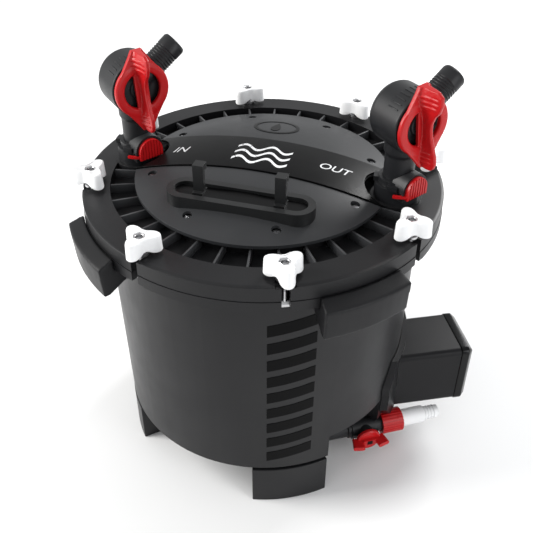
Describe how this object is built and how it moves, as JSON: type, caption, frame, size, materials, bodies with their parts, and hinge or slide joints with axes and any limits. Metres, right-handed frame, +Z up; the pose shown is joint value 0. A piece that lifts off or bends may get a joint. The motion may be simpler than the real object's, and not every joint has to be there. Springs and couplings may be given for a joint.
{
  "type": "canister filter",
  "caption": "Round aquarium canister filter with a clamped ribbed lid, two quick-release hose valves, a side motor, media baskets and a drain valve.",
  "frame": {"origin": "centre of the object's footprint box at floor level", "axes": "+Z up; +X from the inlet valve to the outlet valve; the front foot faces -Y"},
  "size_m": [0.3845, 0.332, 0.412],
  "materials": {
    "barrel": "satin black moulded plastic",
    "rim": "satin dark grey moulded plastic",
    "cover": "fine-grained mid grey plastic",
    "band": "glossy black strip",
    "motor": "satin black plastic",
    "motor_cap": "glossy black plastic",
    "red": "semi-gloss red plastic",
    "valve": "satin black plastic",
    "knob": "smooth white plastic",
    "steel": "stainless steel",
    "drain_white": "smooth white plastic",
    "seal": "soft black rubber",
    "basket": "grey moulded plastic",
    "foam": "open-cell foam",
    "ball": "polished white acetal",
    "impeller": "moulded plastic",
    "magnet": "coated magnet",
    "ceramic": "polished ceramic",
    "stator": "laminations and copper coils"
  },
  "bodies": {
    "canister": {"canister_shell": "barrel", "base_feet": "barrel", "lift_grips": "motor", "motor_housing": "motor", "motor_end_cap": "motor_cap", "stator": "stator", "impeller_shaft": "ceramic", "volute_cover": "impeller", "cable_gland": "seal", "drain_pipe": "valve", "drain_valve_body": "valve", "drain_nozzle": "drain_white"},
    "impeller": {"impeller": "impeller", "rotor_magnet": "magnet"},
    "drain_handle": {"drain_handle": "red"},
    "drain_lock_nut": {"drain_lock_nut": "red"},
    "lid": {"lid_shell": "rim", "lid_cover": "cover", "cover_band": "band", "cover_screws": "steel", "lid_seal": "seal", "hose_clips": "valve", "inlet_valve_collar": "valve", "outlet_valve_collar": "valve"},
    "lower_basket": {"lower_basket": "basket", "lower_foam": "foam"},
    "upper_basket": {"upper_basket": "basket", "upper_foam": "foam"},
    "inlet_latch": {"inlet_latch_button": "red"},
    "inlet_valve": {"inlet_valve_body": "valve"},
    "inlet_handle": {"inlet_valve_handle": "red", "inlet_valve_ball": "ball"},
    "outlet_latch": {"outlet_latch_button": "red"},
    "outlet_valve": {"outlet_valve_body": "valve"},
    "outlet_handle": {"outlet_valve_handle": "red", "outlet_valve_ball": "ball"},
    "bolt_1": {"swing_bolt_1": "steel"},
    "washer_1": {"washer_1": "steel"},
    "knob_1": {"knob_1": "knob"},
    "bolt_2": {"swing_bolt_2": "steel"},
    "washer_2": {"washer_2": "steel"},
    "knob_2": {"knob_2": "knob"},
    "bolt_3": {"swing_bolt_3": "steel"},
    "washer_3": {"washer_3": "steel"},
    "knob_3": {"knob_3": "knob"},
    "bolt_4": {"swing_bolt_4": "steel"},
    "washer_4": {"washer_4": "steel"},
    "knob_4": {"knob_4": "knob"},
    "bolt_5": {"swing_bolt_5": "steel"},
    "washer_5": {"washer_5": "steel"},
    "knob_5": {"knob_5": "knob"},
    "bolt_6": {"swing_bolt_6": "steel"},
    "washer_6": {"washer_6": "steel"},
    "knob_6": {"knob_6": "knob"},
    "bolt_7": {"swing_bolt_7": "steel"},
    "washer_7": {"washer_7": "steel"},
    "knob_7": {"knob_7": "knob"},
    "bolt_8": {"swing_bolt_8": "steel"},
    "washer_8": {"washer_8": "steel"},
    "knob_8": {"knob_8": "knob"}
  },
  "joints": [
    {"name": "lid_lift", "type": "slide", "parent": "canister", "child": "lid", "axis": [0, 0, 1], "range_m": [0, 0.3]},
    {"name": "lower_basket_lift", "type": "slide", "parent": "canister", "child": "lower_basket", "axis": [0, 0, 1], "range_m": [0, 0.1]},
    {"name": "upper_basket_lift", "type": "slide", "parent": "canister", "child": "upper_basket", "axis": [0, 0, 1], "range_m": [0, 0.2]},
    {"name": "impeller_spin", "type": "hinge", "parent": "canister", "child": "impeller", "pos_m": [0.10161, 0.00008, 0.08475], "axis": [0.8988, 0.4384, 0], "continuous": true},
    {"name": "drain_handle_turn", "type": "hinge", "parent": "canister", "child": "drain_handle", "pos_m": [0.09513, -0.04397, 0.0335], "axis": [0.515, -0.8572, 0], "range_deg": [0, 90]},
    {"name": "drain_lock_nut_turn", "type": "hinge", "parent": "canister", "child": "drain_lock_nut", "pos_m": [0.1217, -0.028, 0.0335], "axis": [0.8572, 0.515, 0], "continuous": true},
    {"name": "inlet_latch_press", "type": "slide", "parent": "lid", "child": "inlet_latch", "axis": [-0.809, 0.5878, 0], "range_m": [0, 0.003], "stiffness_N_per_m": 400, "springref_m": -0.002},
    {"name": "inlet_valve_lift", "type": "slide", "parent": "lid", "child": "inlet_valve", "axis": [0, 0, 1], "range_m": [0, 0.06]},
    {"name": "inlet_handle_turn", "type": "hinge", "parent": "inlet_valve", "child": "inlet_handle", "pos_m": [-0.1498, 0, 0.3725], "axis": [0.7431, -0.6691, 0], "range_deg": [0, 90]},
    {"name": "outlet_latch_press", "type": "slide", "parent": "lid", "child": "outlet_latch", "axis": [-0.809, 0.5878, 0], "range_m": [0, 0.003], "stiffness_N_per_m": 400, "springref_m": -0.002},
    {"name": "outlet_valve_lift", "type": "slide", "parent": "lid", "child": "outlet_valve", "axis": [0, 0, 1], "range_m": [0, 0.06]},
    {"name": "outlet_handle_turn", "type": "hinge", "parent": "outlet_valve", "child": "outlet_handle", "pos_m": [0.0972, 0, 0.3725], "axis": [0.7431, -0.6691, 0], "range_deg": [0, 90]},
    {"name": "bolt_1_swing", "type": "hinge", "parent": "canister", "child": "bolt_1", "pos_m": [0.11782, 0.0597, 0.271], "axis": [-0.3827, 0.9239, 0], "range_deg": [0, 85]},
    {"name": "washer_1_slide", "type": "slide", "parent": "bolt_1", "child": "washer_1", "axis": [0, 0, 1], "range_m": [0, 0.3]},
    {"name": "knob_1_spin", "type": "hinge", "parent": "washer_1", "child": "knob_1", "pos_m": [0.11782, 0.0597, 0.2976], "axis": [0, 0, 1], "continuous": true},
    {"name": "bolt_2_swing", "type": "hinge", "parent": "canister", "child": "bolt_2", "pos_m": [0.0334, 0.14413, 0.271], "axis": [-0.9239, 0.3827, 0], "range_deg": [0, 85]},
    {"name": "washer_2_slide", "type": "slide", "parent": "bolt_2", "child": "washer_2", "axis": [0, 0, 1], "range_m": [0, 0.3]},
    {"name": "knob_2_spin", "type": "hinge", "parent": "washer_2", "child": "knob_2", "pos_m": [0.0334, 0.14413, 0.2976], "axis": [0, 0, 1], "continuous": true},
    {"name": "bolt_3_swing", "type": "hinge", "parent": "canister", "child": "bolt_3", "pos_m": [-0.086, 0.14413, 0.271], "axis": [-0.9239, -0.3827, 0], "range_deg": [0, 85]},
    {"name": "washer_3_slide", "type": "slide", "parent": "bolt_3", "child": "washer_3", "axis": [0, 0, 1], "range_m": [0, 0.3]},
    {"name": "knob_3_spin", "type": "hinge", "parent": "washer_3", "child": "knob_3", "pos_m": [-0.086, 0.14413, 0.2976], "axis": [0, 0, 1], "continuous": true},
    {"name": "bolt_4_swing", "type": "hinge", "parent": "canister", "child": "bolt_4", "pos_m": [-0.17042, 0.0597, 0.271], "axis": [-0.3827, -0.9239, 0], "range_deg": [0, 85]},
    {"name": "washer_4_slide", "type": "slide", "parent": "bolt_4", "child": "washer_4", "axis": [0, 0, 1], "range_m": [0, 0.3]},
    {"name": "knob_4_spin", "type": "hinge", "parent": "washer_4", "child": "knob_4", "pos_m": [-0.17042, 0.0597, 0.2976], "axis": [0, 0, 1], "continuous": true},
    {"name": "bolt_5_swing", "type": "hinge", "parent": "canister", "child": "bolt_5", "pos_m": [-0.17042, -0.0597, 0.271], "axis": [0.3827, -0.9239, 0], "range_deg": [0, 85]},
    {"name": "washer_5_slide", "type": "slide", "parent": "bolt_5", "child": "washer_5", "axis": [0, 0, 1], "range_m": [0, 0.3]},
    {"name": "knob_5_spin", "type": "hinge", "parent": "washer_5", "child": "knob_5", "pos_m": [-0.17042, -0.0597, 0.2976], "axis": [0, 0, 1], "continuous": true},
    {"name": "bolt_6_swing", "type": "hinge", "parent": "canister", "child": "bolt_6", "pos_m": [-0.086, -0.14413, 0.271], "axis": [0.9239, -0.3827, 0], "range_deg": [0, 85]},
    {"name": "washer_6_slide", "type": "slide", "parent": "bolt_6", "child": "washer_6", "axis": [0, 0, 1], "range_m": [0, 0.3]},
    {"name": "knob_6_spin", "type": "hinge", "parent": "washer_6", "child": "knob_6", "pos_m": [-0.086, -0.14413, 0.2976], "axis": [0, 0, 1], "continuous": true},
    {"name": "bolt_7_swing", "type": "hinge", "parent": "canister", "child": "bolt_7", "pos_m": [0.0334, -0.14413, 0.271], "axis": [0.9239, 0.3827, 0], "range_deg": [0, 85]},
    {"name": "washer_7_slide", "type": "slide", "parent": "bolt_7", "child": "washer_7", "axis": [0, 0, 1], "range_m": [0, 0.3]},
    {"name": "knob_7_spin", "type": "hinge", "parent": "washer_7", "child": "knob_7", "pos_m": [0.0334, -0.14413, 0.2976], "axis": [0, 0, 1], "continuous": true},
    {"name": "bolt_8_swing", "type": "hinge", "parent": "canister", "child": "bolt_8", "pos_m": [0.11782, -0.0597, 0.271], "axis": [0.3827, 0.9239, 0], "range_deg": [0, 85]},
    {"name": "washer_8_slide", "type": "slide", "parent": "bolt_8", "child": "washer_8", "axis": [0, 0, 1], "range_m": [0, 0.3]},
    {"name": "knob_8_spin", "type": "hinge", "parent": "washer_8", "child": "knob_8", "pos_m": [0.11782, -0.0597, 0.2976], "axis": [0, 0, 1], "continuous": true}
  ],
  "couplings": [
    {"joint": "lower_basket_lift", "follows": "lid_lift", "ratio": 0.33333},
    {"joint": "upper_basket_lift", "follows": "lid_lift", "ratio": 0.66667},
    {"joint": "washer_1_slide", "follows": "lid_lift", "ratio": 1},
    {"joint": "washer_2_slide", "follows": "lid_lift", "ratio": 1},
    {"joint": "washer_3_slide", "follows": "lid_lift", "ratio": 1},
    {"joint": "washer_4_slide", "follows": "lid_lift", "ratio": 1},
    {"joint": "washer_5_slide", "follows": "lid_lift", "ratio": 1},
    {"joint": "washer_6_slide", "follows": "lid_lift", "ratio": 1},
    {"joint": "washer_7_slide", "follows": "lid_lift", "ratio": 1},
    {"joint": "washer_8_slide", "follows": "lid_lift", "ratio": 1}
  ]
}
